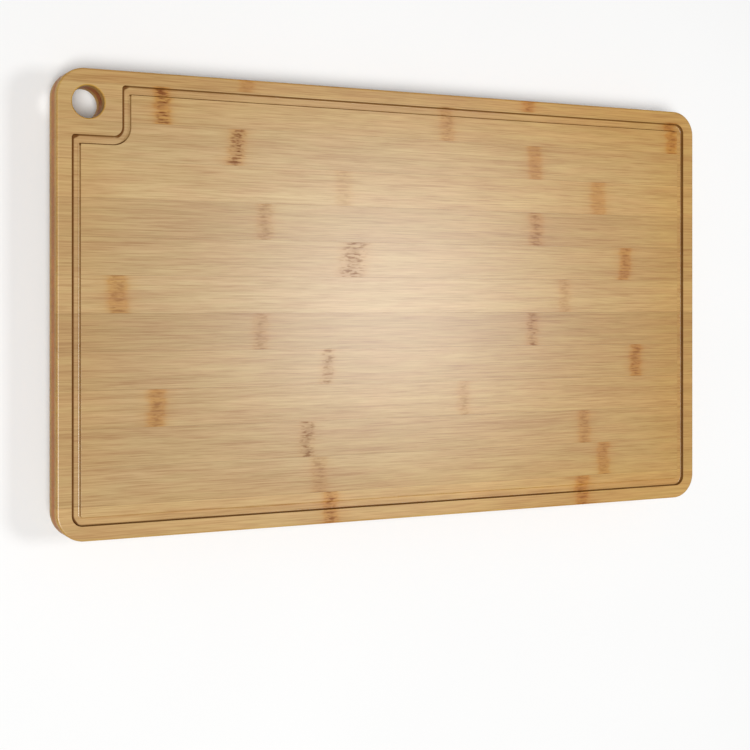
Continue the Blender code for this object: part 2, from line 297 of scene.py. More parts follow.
def skinned(name, rings, tool=None, joined=False):
    """A closed object over a grid of rings (rings, points, 3), with its faces pointing out.

    Four neighbours on the grid make a face. The first and last rings are capped, or joined to each
    other. tool gives every grid point its place in the machining map.
    """
    count, around = rings.shape[:2]
    index = np.arange(count * around).reshape(count, around)
    lower = index if joined else index[:-1]
    upper = np.roll(index, -1, axis=0) if joined else index[1:]
    quads = np.stack((lower, np.roll(lower, -1, axis=1), np.roll(upper, -1, axis=1), upper), axis=-1)
    faces = quads.reshape(-1, 4).tolist()
    if not joined:
        faces += [index[0, ::-1].tolist(), index[-1].tolist()]
    mesh = bpy.data.meshes.new(name)
    mesh.from_pydata(rings.reshape(-1, 3), [], faces)
    skin = bmesh.new()
    skin.from_mesh(mesh)
    bmesh.ops.recalc_face_normals(skin, faces=skin.faces)
    skin.to_mesh(mesh)
    skin.free()
    if tool is not None:
        corner = np.zeros(len(mesh.loops), np.int32)
        mesh.loops.foreach_get("vertex_index", corner)
        place = np.broadcast_to(tool, (count, around, 2)).reshape(-1, 2)[corner]
        mesh.uv_layers.new(name=TOOL_MAP).data.foreach_set("uv", place.astype(np.float32).ravel())
    piece = bpy.data.objects.new(name, mesh)
    bpy.context.scene.collection.objects.link(piece)
    return piece


def block(name, low, high):
    """A rectangular block of planed wood between two corners."""
    outline = np.array([(low[0], low[1]), (high[0], low[1]), (high[0], high[1]), (low[0], high[1])])
    rings = np.stack([np.column_stack((outline, np.full(4, z))) for z in (low[2], high[2])])
    return skinned(name, rings, tool=np.array((PLANED, 0.0)))


def boolean(piece, operation, cutter):
    """Puts a Boolean with a cutter on a piece."""
    step = piece.modifiers.new(operation.title(), "BOOLEAN")
    step.operation = operation
    step.object = cutter
    step.solver = "EXACT"


def settle(piece):
    """Puts the evaluated mesh in place of the piece's own, and drops its modifiers."""
    graph = bpy.context.evaluated_depsgraph_get()
    shape = piece.evaluated_get(graph)
    finished = bpy.data.meshes.new_from_object(shape, preserve_all_data_layers=True, depsgraph=graph)
    rough = piece.data
    piece.modifiers.clear()
    piece.data = finished
    finished.name = piece.name
    bpy.data.meshes.remove(rough)


def shade(piece, sharp=math.radians(32), level=0.99999):
    """Smooth shading on curves, flat shading on faces square to an axis, and real edges kept sharp."""
    mesh = piece.data
    mesh.shade_smooth()
    mesh.set_sharp_from_angle(angle=sharp)
    facing = np.zeros(len(mesh.polygons) * 3, np.float32)
    mesh.polygons.foreach_get("normal", facing)
    curved = np.abs(facing.reshape(-1, 3)).max(axis=1) < level
    mesh.polygons.foreach_set("use_smooth", curved)


def discard(*pieces):
    """Removes cutters and blanks once every cut is settled."""
    for piece in pieces:
        mesh = piece.data
        bpy.data.objects.remove(piece)
        bpy.data.meshes.remove(mesh)


def hand_over(piece, material, slot, *nodes):
    """Gives a finished piece its material and its body, and hides the nodes that it stands for. The slot is
    not used.
    """
    piece.data.materials.clear()
    piece.data.materials.append(material)
    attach(piece, BODY)
    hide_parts(*nodes)


# The board's cutters


def board_blank(shape):
    """The whole board: its rounded outline, drawn in along an arc where it nears each face."""
    radius, steps = shape.arris_radius, 6
    lower = quarter((radius, UNDERSIDE), (0, UNDERSIDE + radius), 1, steps)
    upper = quarter((0, FACE - radius), (radius, FACE), 0, steps)
    profile = np.vstack((lower, upper))
    rings = []
    for inset, z in profile:
        corner = shape.corner_radius - inset
        outline = filleted(
            [
                (LEFT + inset, FRONT + inset, corner),
                (RIGHT - inset, FRONT + inset, corner),
                (RIGHT - inset, REAR - inset, corner),
                (LEFT + inset, REAR - inset, corner),
            ],
            facets=28,
        )
        rings.append(np.column_stack((outline, np.full(len(outline), z))))
    sawn = SAWN * (1 - profile[:, 0] / radius)
    tool = np.stack((sawn, np.zeros(len(sawn))), axis=-1)[:, None, :]
    return skinned("board_blank", np.stack(rings), tool=tool)


def groove_line(shape, offset):
    """The groove's path at an offset in from its outer wall, stepping round the hanging hole."""
    edge = shape.groove_margin + offset
    notch = shape.notch_margin + offset
    least = 0.4 * MM
    corner = max(shape.groove_corner - offset, least)
    entry = max(shape.notch_entry - offset, least)
    return filleted(
        [
            (LEFT + edge, FRONT + edge, corner),
            (RIGHT - edge, FRONT + edge, corner),
            (RIGHT - edge, REAR - edge, corner),
            (LEFT + notch, REAR - edge, entry),
            (LEFT + notch, REAR - notch, shape.notch_turn + offset),
            (LEFT + edge, REAR - notch, entry),
        ],
        facets=14,
    )


def groove_cutter(shape):
    """The router bit's sweep: a profile of eased lips, upright walls and a floor with round corners.

    A profile point lies a share of the way across from the outer wall's line to the inner one's, and
    the same points run round both lines, so the sweep never folds over in a corner.
    """
    width, depth = shape.groove_width, shape.groove_depth
    lip, foot = shape.lip_radius, shape.floor_radius
    wall = np.vstack((
        [(-lip, -OVERSHOOT)],
        quarter((-lip, 0.0), (0.0, lip), 1, 3),
        quarter((0.0, depth - foot), (foot, depth), 0, 6),
    ))
    mirrored = np.column_stack((width - wall[::-1, 0], wall[::-1, 1]))
    profile = np.vstack((wall, mirrored))
    outer = groove_line(shape, 0.0)
    inner = groove_line(shape, width)
    share = (profile[:, 0] / width)[:, None, None]
    flat = outer + share * (inner - outer)
    z = np.broadcast_to((FACE - profile[:, 1])[:, None, None], flat.shape[:2] + (1,))
    tool = np.stack((ROUTED + np.clip(share[:, 0, 0], 0, 1), profile[:, 1] / depth), axis=-1)[:, None, :]
    return skinned("groove_cutter", np.concatenate((flat, z), axis=-1), tool=tool, joined=True)


def hole_cutter(shape):
    """The hanging hole, flared by an arc at both faces."""
    radius, ease = shape.hole_radius, shape.hole_easing
    profile = np.vstack((
        [(radius + ease, UNDERSIDE - OVERSHOOT)],
        quarter((radius + ease, UNDERSIDE), (radius, UNDERSIDE + ease), 1, 6),
        quarter((radius, FACE - ease), (radius + ease, FACE), 0, 6),
        [(radius + ease, FACE + OVERSHOOT)],
    ))
    centre = (LEFT + shape.hole_from_left, REAR - shape.hole_from_rear)
    rings = turned(profile, centre, facets=112)
    return skinned("hole_cutter", rings, tool=np.array((BORED, 0.0)))


def pilot_cutter(place, screw):
    """The pilot hole for one foot's screw, up from the underside."""
    low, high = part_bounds("foot_screw_" + place)
    clearance, past_point = 0.05 * MM, 0.3 * MM
    radius = screw.shank_radius + clearance
    profile = [(radius, UNDERSIDE - OVERSHOOT), (radius, high.z + past_point)]
    rings = turned(profile, axis_of(low, high), facets=32)
    return skinned("pilot_cutter_" + place, rings, tool=np.array((BORED, 0.0)))


def strip_block(node, seam):
    """A strip's block of wood: the part's box, grown to the next strip or past the board's outside."""
    low, high = (np.array(corner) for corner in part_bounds(node))
    board_low, board_high = np.array((LEFT, FRONT, UNDERSIDE)), np.array((RIGHT, REAR, FACE))
    grow = (PART_SEAM - seam) / 2
    near = 0.1 * MM
    outside_low = low < board_low + near
    outside_high = high > board_high - near
    outside_low[0] = outside_high[0] = True
    low = np.where(outside_low, board_low - OVERSHOOT, low - grow)
    high = np.where(outside_high, board_high + OVERSHOOT, high + grow)
    return block(node.replace("_strip_", "_bamboo_"), low, high), low, high


def cut_strip(node, shape, blank, cutters):
    """A strip cut from its block by the blank and by the cutters that reach it, and its box."""
    strip, low, high = strip_block(node, shape.seam)
    boolean(strip, "INTERSECT", blank)
    for cutter in cutters:
        places = np.array([corner[:] for corner in cutter.bound_box])
        if (places.min(axis=0) < high).all() and (places.max(axis=0) > low).all():
            boolean(strip, "DIFFERENCE", cutter)
    settle(strip)
    shade(strip)
    return strip, low, high


# Materials


class Bench:
    """Adds nodes to one tree. A socket given as a value is linked, and a plain value is set."""

    SPACING = 220

    def __init__(self, tree):
        self.tree = tree

    def join(self, value, socket):
        """Links or sets one input."""
        if isinstance(value, bpy.types.NodeSocket):
            self.tree.links.new(value, socket)
        else:
            socket.default_value = value

    def add(self, kind, *values, **settings):
        """A node with its settings, and its first inputs in order."""
        node = self.tree.nodes.new(kind)
        node.location.x = self.SPACING * len(self.tree.nodes)
        for name, setting in settings.items():
            setattr(node, name, setting)
        for value, socket in zip(values, node.inputs):
            self.join(value, socket)
        return node

    def math(self, operation, *values, clamp=False):
        """The result of a Math node."""
        return self.add("ShaderNodeMath", *values, operation=operation, use_clamp=clamp).outputs[0]

    def times(self, value, other, clamp=False):
        """Two values multiplied."""
        return self.math("MULTIPLY", value, other, clamp=clamp)

    def scaled(self, value, by, plus, clamp=False):
        """A value multiplied by a second one, and a third one added."""
        return self.math("MULTIPLY_ADD", value, by, plus, clamp=clamp)

    def vector(self, operation, *values):
        """The result of a Vector Math node."""
        return self.add("ShaderNodeVectorMath", *values, operation=operation).outputs[0]

    def split(self, place):
        """The X, Y and Z of a place."""
        return self.add("ShaderNodeSeparateXYZ", place).outputs

    def ease(self, value, low, high):
        """0 to 1, smoothly, as a value goes from low to high."""
        smooth = {"interpolation_type": "SMOOTHSTEP"}
        return self.add("ShaderNodeMapRange", value, low, high, 0.0, 1.0, **smooth).outputs[0]

    def noise(self, place, scale, detail, roughness=0.55):
        """Noise in 0 to 1 with so many features in each unit of the place it is read at."""
        node = self.add("ShaderNodeTexNoise", place)
        self.join(scale, node.inputs["Scale"])
        self.join(detail, node.inputs["Detail"])
        self.join(roughness, node.inputs["Roughness"])
        return node.outputs[0]

    def grain(self, place, along, across, detail=2.0, roughness=0.55):
        """Noise with so many features in a metre along the strip and in a metre across it."""
        stretched = self.vector("MULTIPLY", place, (along, across, across))
        return self.noise(stretched, 1.0, detail, roughness)

    def tint(self, share, colour, other, mode="MIX"):
        """Two colours mixed."""
        node = self.add("ShaderNodeMix", data_type="RGBA", blend_type=mode, clamp_factor=True)
        for value, socket in zip((share, colour, other), (node.inputs[0], node.inputs[6], node.inputs[7])):
            self.join(value, socket)
        return node.outputs[2]

    def filter(self, share, colour, left):
        """A colour multiplied, to a share, by what is left of each of red, green and blue."""
        return self.tint(share, colour, opaque(left), "MULTIPLY")

    def relief(self, height, shader, strength, distance):
        """Bump of a height on a shader's normal."""
        bump = self.add("ShaderNodeBump")
        self.join(strength, bump.inputs["Strength"])
        self.join(distance, bump.inputs["Distance"])
        self.join(height, bump.inputs["Height"])
        self.join(bump.outputs[0], shader["Normal"])

    def group(self, name, **values):
        """A placed node group with its inputs set by name, spaces written as underscores."""
        node = self.add("ShaderNodeGroup", node_tree=bpy.data.node_groups[name])
        for label, value in values.items():
            self.join(value, node.inputs[label.replace("_", " ").capitalize()])
        return node.outputs


def opaque(colour):
    """A colour with full alpha."""
    return (*colour, 1.0)


ORIGIN = (0.0, 0.0, 0.0)
SOCKET_KINDS = {1: "NodeSocketFloat", 3: "NodeSocketVector", 4: "NodeSocketColor"}  # by how many numbers


def new_group(name, inputs, outputs):
    """An empty node group, as (bench, inputs, output node's sockets).

    Every group reads the piece's own coordinates at its input Place. The other inputs are given by their
    names and defaults, and the outputs by their names: one called Color is a colour, and the rest are
    numbers.
    """
    tree = bpy.data.node_groups.new(name, "ShaderNodeTree")
    for label, default in ({"Place": ORIGIN} | inputs).items():
        kind = SOCKET_KINDS[np.size(default)]
        tree.interface.new_socket(label, in_out="INPUT", socket_type=kind).default_value = default
    for label in outputs:
        kind = SOCKET_KINDS[4 if label == "Color" else 1]
        tree.interface.new_socket(label, in_out="OUTPUT", socket_type=kind)
    bench = Bench(tree)
    given = bench.add("NodeGroupInput").outputs
    result = bench.add("NodeGroupOutput").inputs
    return bench, given, result


def build_fibre_group():
    """Bamboo fibre: fine straight bundles of dark fibre in paler pith, drawn out along X.

    Noises are read at the same place, stretched along the strip by different amounts: slow patches of
    stain and of blush, bundles about a millimetre apart, single hairs between them and short dark pores.
    The share of fibre is the sum of stain, bundles and hairs, each times its own input.
    """
    bench, given, result = new_group(
        "Bamboo Fibre",
        {
            "Shift": ORIGIN,
            "Pith": (0.6, 0.4, 0.2, 1.0),
            "Fibre": (0.4, 0.2, 0.1, 1.0),
            "Stain": 0.3,
            "Bundles": 0.3,
            "Hairs": 0.3,
            "Sway": 1.4 * MM,
        },
        ("Color", "Height", "Dulling"),
    )
    moved = bench.vector("ADD", given["Place"], given["Shift"])
    drift = bench.grain(moved, along=4.0, across=14.0, detail=1.0)
    sway = bench.times(bench.math("SUBTRACT", drift, 0.5), given["Sway"])
    swayed = bench.vector("ADD", moved, bench.add("ShaderNodeCombineXYZ", 0.0, sway, sway).outputs[0])
    patches = bench.grain(swayed, along=10.0, across=120.0)
    blushes = bench.grain(swayed, along=26.0, across=170.0, detail=1.0)
    bundles = bench.grain(swayed, along=15.0, across=900.0, roughness=0.6)
    hairs = bench.grain(swayed, along=48.0, across=2100.0, roughness=0.6)
    pores = bench.grain(swayed, along=190.0, across=2600.0, detail=1.0)
    hair = bench.ease(hairs, 0.38, 0.72)
    pore = bench.ease(pores, 0.64, 0.80)
    blush = bench.ease(blushes, 0.35, 0.65)
    stain = bench.times(bench.ease(patches, 0.28, 0.74), given["Stain"])
    stained = bench.scaled(bench.ease(bundles, 0.34, 0.70), given["Bundles"], stain)
    share = bench.scaled(hair, given["Hairs"], stained, clamp=True)
    wood = bench.tint(share, given["Pith"], given["Fibre"])
    blushed = bench.filter(blush, wood, (1.0, 0.95, 0.96))
    pored = bench.tint(bench.times(pore, 0.25), blushed, given["Fibre"])
    bench.join(pored, result["Color"])
    bench.join(bench.math("SUBTRACT", bench.times(hair, 0.6), pore), result["Height"])
    bench.join(bench.scaled(pore, 0.10, bench.times(hair, 0.04)), result["Dulling"])


def build_knuckle_group():
    """A joint of the stalk: a stained band across the strip, darker along its middle and full of spots.

    The distance along the strip from the joint, less the slant and shifted a little from fibre to fibre,
    is divided by the half width. The stain is mottled inside one, and falls away in tails along the
    fibres beyond it. The spots are where noise, lifted a little along rows, is high near the middle.
    """
    bench, given, result = new_group(
        "Bamboo Knuckle",
        {
            "Centre": 0.0,
            "Middle": 0.0,
            "Half width": 5 * MM,
            "Slant": 0.0,
            "Row pitch": 2.3 * MM,
            "Stagger": 7 * MM,
        },
        ("Spots", "Stain"),
    )
    place = given["Place"]
    x, y, z = bench.split(place)
    lean = bench.times(bench.math("SUBTRACT", y, given["Middle"]), given["Slant"])
    along = bench.math("SUBTRACT", bench.math("SUBTRACT", x, given["Centre"]), lean)
    wander = bench.math("SUBTRACT", bench.grain(place, along=22.0, across=300.0), 0.5)
    staggered = bench.scaled(wander, given["Stagger"], along)
    reach = bench.math("ABSOLUTE", bench.math("DIVIDE", staggered, given["Half width"]))
    rows = bench.math("DIVIDE", bench.scaled(z, 1.3, y), given["Row pitch"])
    ripple = bench.math("COSINE", bench.times(rows, 2 * math.pi))
    broken = bench.grain(place, along=170.0, across=620.0)
    streaks = bench.grain(place, along=60.0, across=700.0)
    mottle = bench.grain(place, along=150.0, across=330.0, detail=3.0, roughness=0.6)
    fringe = bench.grain(place, along=40.0, across=620.0)
    dots = bench.ease(bench.scaled(ripple, 0.045, broken), 0.47, 0.62)
    spots = bench.times(bench.ease(reach, 1.1, 0.4), dots)
    core = bench.times(bench.ease(reach, 0.7, 0.0), bench.ease(streaks, 0.34, 0.64))
    bench.join(bench.scaled(core, 0.45, bench.times(spots, 0.7), clamp=True), result["Spots"])
    band = bench.times(bench.ease(reach, 1.6, 0.3), bench.scaled(mottle, 1.9, -0.12))
    drawn_out = bench.math("DIVIDE", reach, bench.scaled(fringe, 4.0, 0.5))
    tail = bench.ease(drawn_out, 1.25, 0.1)
    bench.join(bench.scaled(tail, 0.4, band, clamp=True), result["Stain"])


def build_tool_mark_and_shadow_group():
    """What the tools left on the wood, and painted shadow in the groove, read from the machining map.

    Floor is 1 in the groove and Cut is 1 on sawn and bored wood, where end grain shows. The first output is
    router burn up the groove's outer wall, in a band that is wider and darker along the board's left end
    and along the notch below the hole, where the extra is painted shadow cast by the outer wall. A narrow
    band at the foot of the inner wall is painted shadow on the rear run and under the notch, and a trace of
    burn elsewhere. Noise makes both uneven.
    """
    bench, given, result = new_group("Tool Marks And Shadow", {"Map": ORIGIN}, ("Scorch and shadow", "Floor", "Cut"))
    across = bench.split(given["Map"])[0]
    above = bench.math("GREATER_THAN", across, ROUTED - 0.01)
    below = bench.math("LESS_THAN", across, ROUTED + 1.01)
    routed = bench.times(above, below)
    x, y = bench.split(given["Place"])[:2]
    past_hole = bench.ease(y, REAR - 50 * MM, REAR - 48 * MM)
    left_run = bench.ease(x, LEFT + 15.5 * MM, LEFT + 12.5 * MM)
    notch_start = bench.ease(x, LEFT + 37 * MM, LEFT + 41 * MM)
    notch_end = bench.ease(x, LEFT + 48 * MM, LEFT + 45 * MM)
    notch_run = bench.times(bench.times(notch_start, notch_end), past_hole)
    # slow marks the left run and the notch, where painted shadow widens and darkens the outer band
    slow = bench.math("ADD", left_run, notch_run)
    # Where a narrow painted shadow lies at the foot of the inner wall: the rear run and under the notch
    rear_run = bench.ease(y, REAR - 16.5 * MM, REAR - 15.2 * MM)
    notch_side = bench.ease(y, REAR - 43 * MM, REAR - 46 * MM)
    shaded_inner_run = bench.times(bench.math("MAXIMUM", rear_run, notch_side), past_hole)
    outer_burn_and_shadow_band = bench.ease(bench.scaled(slow, -0.20, across), 1.20, 1.04)
    outer = bench.times(outer_burn_and_shadow_band, bench.scaled(slow, 0.3, 0.74))
    inner_shadow_band = bench.ease(bench.scaled(shaded_inner_run, 0.07, across), 1.94, 1.99)
    walls = bench.scaled(inner_shadow_band, bench.scaled(shaded_inner_run, 0.74, 0.12), outer)
    patches = bench.noise(bench.vector("MULTIPLY", given["Place"], (45.0, 45.0, 160.0)), 1.0, 2.0)
    uneven = bench.scaled(patches, 0.4, 0.8)
    # Router burn on the walls, with painted shadow on the left run, the notch and the rear run's inner side
    bench.join(bench.times(bench.times(walls, uneven, clamp=True), routed), result["Scorch and shadow"])
    bench.join(routed, result["Floor"])
    sawn = bench.times(across, 1 / SAWN, clamp=True)
    bored = bench.math("GREATER_THAN", across, BORED - 0.5)
    bench.join(bench.math("MAXIMUM", sawn, bored), result["Cut"])


def build_seam_group():
    """The glue line along a strip's two long edges: 1 at the edge, gone a fraction of a millimetre in."""
    bench, given, result = new_group(
        "Glue Seam", {"Middle": 0.0, "Half strip": 12 * MM, "Width": 0.3 * MM}, ("Seam",)
    )
    y = bench.split(given["Place"])[1]
    off = bench.math("ABSOLUTE", bench.math("SUBTRACT", y, given["Middle"]))
    inside = bench.math("SUBTRACT", given["Half strip"], off)
    bench.join(bench.ease(inside, given["Width"], 0.0), result["Seam"])


def build_warm_drift_group():
    """A share that grows to the right end, and half at the rim, where the wood is tinted warmer and darker.
    """
    bench, given, result = new_group("Warm Drift", {}, ("Warmth",))
    x, y = bench.split(given["Place"])[:2]
    right = bench.ease(x, -120 * MM, RIGHT)
    ends = bench.ease(bench.math("ABSOLUTE", x), RIGHT - 60 * MM, RIGHT)
    sides = bench.ease(bench.math("ABSOLUTE", y), REAR - 50 * MM, REAR)
    rim = bench.times(bench.math("MAXIMUM", ends, sides), 0.5)
    bench.join(bench.scaled(right, 0.7, rim, clamp=True), result["Warmth"])


def build_speckle_group():
    """Fine speckle left by a mould or a plating bath, and slow cloudy patches, in 0 to 1."""
    bench, given, result = new_group(
        "Surface Speckle", {"Grain": 2500.0, "Cloud": 160.0}, ("Speckle", "Clouds")
    )
    fine = bench.noise(given["Place"], given["Grain"], 2.0)
    slow = bench.noise(given["Place"], given["Cloud"], 3.0)
    bench.join(bench.ease(fine, 0.35, 0.7), result["Speckle"])
    bench.join(bench.ease(slow, 0.35, 0.65), result["Clouds"])


GROUPS = {
    "Bamboo Fibre": build_fibre_group,
    "Bamboo Knuckle": build_knuckle_group,
    "Tool Marks And Shadow": build_tool_mark_and_shadow_group,
    "Glue Seam": build_seam_group,
    "Warm Drift": build_warm_drift_group,
    "Surface Speckle": build_speckle_group,
}


def new_material(name, *groups):
    """A material with the groups that it needs, as (material, bench, shader inputs, object coordinates)."""
    for group in groups:
        if group not in bpy.data.node_groups:
            GROUPS[group]()
    material = bpy.data.materials.new(name)
    material.use_nodes = True
    shader = material.node_tree.nodes["Principled BSDF"]
    bench = Bench(material.node_tree)
    return material, bench, shader.inputs, bench.add("ShaderNodeTexCoord").outputs["Object"]


def bamboo_material(name, finish, pith, fibre, number, low, high, tone, warmth, knuckles):
    """One strip's bamboo: fibre, its knuckles, glue lines, what saw, drill and router left, and painted
    shadow in the groove.

    Burnt, cut and spotted wood and the painted groove shadow are bare: the lacquer's weight is what they
    leave of it.
    """
    stain_share, spot_bareness, seam_share, groove_share, groove_dulling = 0.92, 0.8, 0.35, 0.2, 0.15
    material, bench, shader, place = new_material(
        name, "Bamboo Fibre", "Bamboo Knuckle", "Tool Marks And Shadow", "Glue Seam", "Warm Drift"
    )
    middle = (low[1] + high[1]) / 2
    tool_map = bench.add("ShaderNodeUVMap", uv_map=TOOL_MAP).outputs[0]
    marks_and_shadow = bench.group("Tool Marks And Shadow", place=place, map=tool_map)
    strip_tone = np.array((tone * warmth**0.5, tone, tone / warmth))
    wood = bench.group(
        "Bamboo Fibre", place=place, shift=[step * number for step in STRIP_SHIFT],
        stain=0.30, bundles=0.36, hairs=0.52,
        pith=opaque(np.clip(np.array(pith) * strip_tone, 0, 1)),
        fibre=opaque(np.clip(np.array(fibre) * strip_tone, 0, 1)),
    )
    colour = wood["Color"]
    bare = bench.math("ADD", marks_and_shadow["Cut"], marks_and_shadow["Scorch and shadow"])
    for centre, half_width, stained, spotted, slant in knuckles:
        knuckle = bench.group(
            "Bamboo Knuckle", place=place, centre=LEFT + centre * MM, middle=middle,
            half_width=half_width * MM, slant=slant,
        )
        stain = bench.times(knuckle["Stain"], stain_share * stained)
        spots = bench.times(knuckle["Spots"], spotted)
        colour = bench.filter(stain, colour, finish.halo)
        colour = bench.filter(spots, colour, finish.knuckle)
        bare = bench.scaled(spots, spot_bareness, bare)
    seam = bench.group("Glue Seam", place=place, middle=middle, half_strip=(high[1] - low[1]) / 2)["Seam"]
    colour = bench.tint(bench.times(seam, seam_share), colour, opaque(fibre))
    colour = bench.filter(marks_and_shadow["Cut"], colour, finish.cut)
    colour = bench.filter(bench.times(marks_and_shadow["Floor"], groove_share), colour, finish.groove)
    # Warmer and darker towards the right end and at the rim
    colour = bench.filter(bench.group("Warm Drift", place=place)["Warmth"], colour, finish.warm_drift)
    # Router burn in the groove, and painted shadow on its left run, the notch and the rear run's inner side
    colour = bench.tint(marks_and_shadow["Scorch and shadow"], colour, opaque(finish.scorch_and_shadow))
    bench.join(colour, shader["Base Color"])
    dulling = bench.scaled(marks_and_shadow["Floor"], groove_dulling, wood["Dulling"])
    bench.join(bench.math("ADD", dulling, finish.polish), shader["Roughness"])
    shader["Specular IOR Level"].default_value = 0.15
    weight = bench.scaled(bare, -finish.lacquer, finish.lacquer, clamp=True)
    bench.join(weight, shader["Coat Weight"])
    shader["Coat IOR"].default_value = 1.6
    shader["Coat Roughness"].default_value = finish.lacquer_roughness
    bench.relief(wood["Height"], shader, strength=0.35, distance=0.03 * MM)
    return material


def speckled_material(name, grain, cloud):
    """A material with the speckle group placed, as (material, bench, shader inputs, group's outputs)."""
    material, bench, shader, place = new_material(name, "Surface Speckle")
    return material, bench, shader, bench.group("Surface Speckle", place=place, grain=grain, cloud=cloud)


def rubber_material(feet):
    """Black moulded rubber with a fine speckle and a little dust."""
    material, bench, shader, surface = speckled_material("Black Rubber", 2600.0, 140.0)
    dust_share, dust_gain, roughness_spread = 0.35, 1.9, 0.14
    dust = opaque(np.array(feet.colour) * dust_gain)
    dusted = bench.tint(bench.times(surface["Clouds"], dust_share), opaque(feet.colour), dust)
    bench.join(dusted, shader["Base Color"])
    bench.join(bench.scaled(surface["Clouds"], roughness_spread, feet.roughness), shader["Roughness"])
    bench.relief(surface["Speckle"], shader, strength=0.3, distance=0.04 * MM)
    return material


def zinc_material(hardware):
    """Zinc plating with a cloudy bloom."""
    material, bench, shader, surface = speckled_material("Zinc Plating", 5000.0, 420.0)
    left_by_bloom, roughness_spread = (0.80, 0.82, 0.88), 0.18
    plating = bench.filter(surface["Clouds"], opaque(hardware.colour), left_by_bloom)
    bench.join(plating, shader["Base Color"])
    shader["Metallic"].default_value = 1.0
    bench.join(bench.scaled(surface["Clouds"], roughness_spread, hardware.roughness), shader["Roughness"])
    bench.relief(surface["Speckle"], shader, strength=0.15, distance=0.01 * MM)
    return material


def floor_material(studio):
    """A pale, matt studio floor with the faintest mottling."""
    material, bench, shader, surface = speckled_material("Studio Floor", 60.0, 2.5)
    mottling, roughness, roughness_spread = 0.985, 0.75, 0.05
    mottled = bench.filter(surface["Clouds"], opaque(studio.floor), (mottling, mottling, mottling))
    bench.join(mottled, shader["Base Color"])
    bench.join(bench.scaled(surface["Speckle"], roughness_spread, roughness), shader["Roughness"])
    return material


# Operators


def make_ply(scene, ply, wood, name, apart, looks):
    """One ply's strips, with the groove in the top ply and the screws' pilot holes in the others.

    wood is light or carbonised. apart is added to the strips' numbers, so that no two plies share their
    fibre. looks gives each strip's lightness, warmth and knuckles.
    """
    shape, finish = scene.board_shape, scene.bamboo_finish
    if ply == "top":
        cutters = [groove_cutter(shape), hole_cutter(shape)]
    else:
        pilots = [pilot_cutter(place, scene.board_hardware) for place in PLACES]
        cutters = [hole_cutter(shape), *pilots]
    pith, fibre = getattr(finish, wood), getattr(finish, wood + "_fibre")
    blank = board_blank(shape)
    for number, (node, look) in enumerate(zip(STRIPS[ply], looks), start=1):
        strip, low, high = cut_strip(node, shape, blank, cutters)
        material = bamboo_material(
            f"{name} {number:02d}", finish, pith, fibre, apart + number, low, high, *look
        )
        hand_over(strip, material, wood + "_bamboo", node)
    discard(blank, *cutters)


def drawn_looks(ply, seed, tones, warmths, most, front=None):
    """Random looks for a ply that is hardly seen, two knuckles to a strip about 220 mm apart.

    most is how stained and how spotted the strongest knuckle may be. The front strip may have knuckles
    of its own.
    """
    draw = np.random.default_rng(seed)
    for node in STRIPS[ply]:
        tone, warmth = draw.uniform(*tones), draw.uniform(*warmths)
        if front and node == STRIPS[ply][-1]:
            yield tone, warmth, front
            continue
        first = draw.uniform(20, 200)
        knuckles = []
        for centre in (first, first + draw.uniform(195, 250)):
            half_width = draw.uniform(4.5, 6.5)
            stained, spotted = draw.uniform(0.3, most), draw.uniform(0.3, most)
            knuckles.append((centre, half_width, stained, spotted, draw.uniform(-0.05, 0.1)))
        yield tone, warmth, knuckles


class CUTTINGBOARD_OT_top_ply(Operator):
    """Make the top ply's light strips, with the juice groove and the hanging hole"""

    bl_idname = "cutting_board.top_ply"
    bl_label = "Top Ply"
    bl_options = {"REGISTER", "UNDO"}

    def execute(self, context):
        make_ply(context.scene, "top", "light", "Light Bamboo", 0, TOP_LAYOUT)
        return {"FINISHED"}


class CUTTINGBOARD_OT_bottom_ply(Operator):
    """Make the bottom ply's light strips"""

    bl_idname = "cutting_board.bottom_ply"
    bl_label = "Bottom Ply"
    bl_options = {"REGISTER", "UNDO"}

    def execute(self, context):
        looks = drawn_looks("bottom", 27, (0.92, 1.04), (0.96, 1.06), most=0.9)
        make_ply(context.scene, "bottom", "light", "Bottom Bamboo", 40, looks)
        return {"FINISHED"}


class CUTTINGBOARD_OT_core_ply(Operator):
    """Make the core ply's carbonised strips"""

    bl_idname = "cutting_board.core_ply"
    bl_label = "Core Ply"
    bl_options = {"REGISTER", "UNDO"}

    def execute(self, context):
        looks = drawn_looks("core", 64, (0.90, 1.06), (0.97, 1.05), most=0.8, front=CORE_FRONT)
        make_ply(context.scene, "core", "carbonised", "Carbonised Bamboo", 80, looks)
        return {"FINISHED"}


class CUTTINGBOARD_OT_feet(Operator):
    """Make the four fluted rubber feet"""

    bl_idname = "cutting_board.feet"
    bl_label = "Rubber Feet"
    bl_options = {"REGISTER", "UNDO"}

    def execute(self, context):
        feet = context.scene.board_feet
        material = rubber_material(feet)
        for place in PLACES:
            node = "rubber_foot_" + place
            low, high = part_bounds(node)
            foot = skinned("fluted_foot_" + place, foot_rings(feet, low, high), joined=True)
            shade(foot, sharp=math.radians(50))
            hand_over(foot, material, "black_rubber", node)
        return {"FINISHED"}


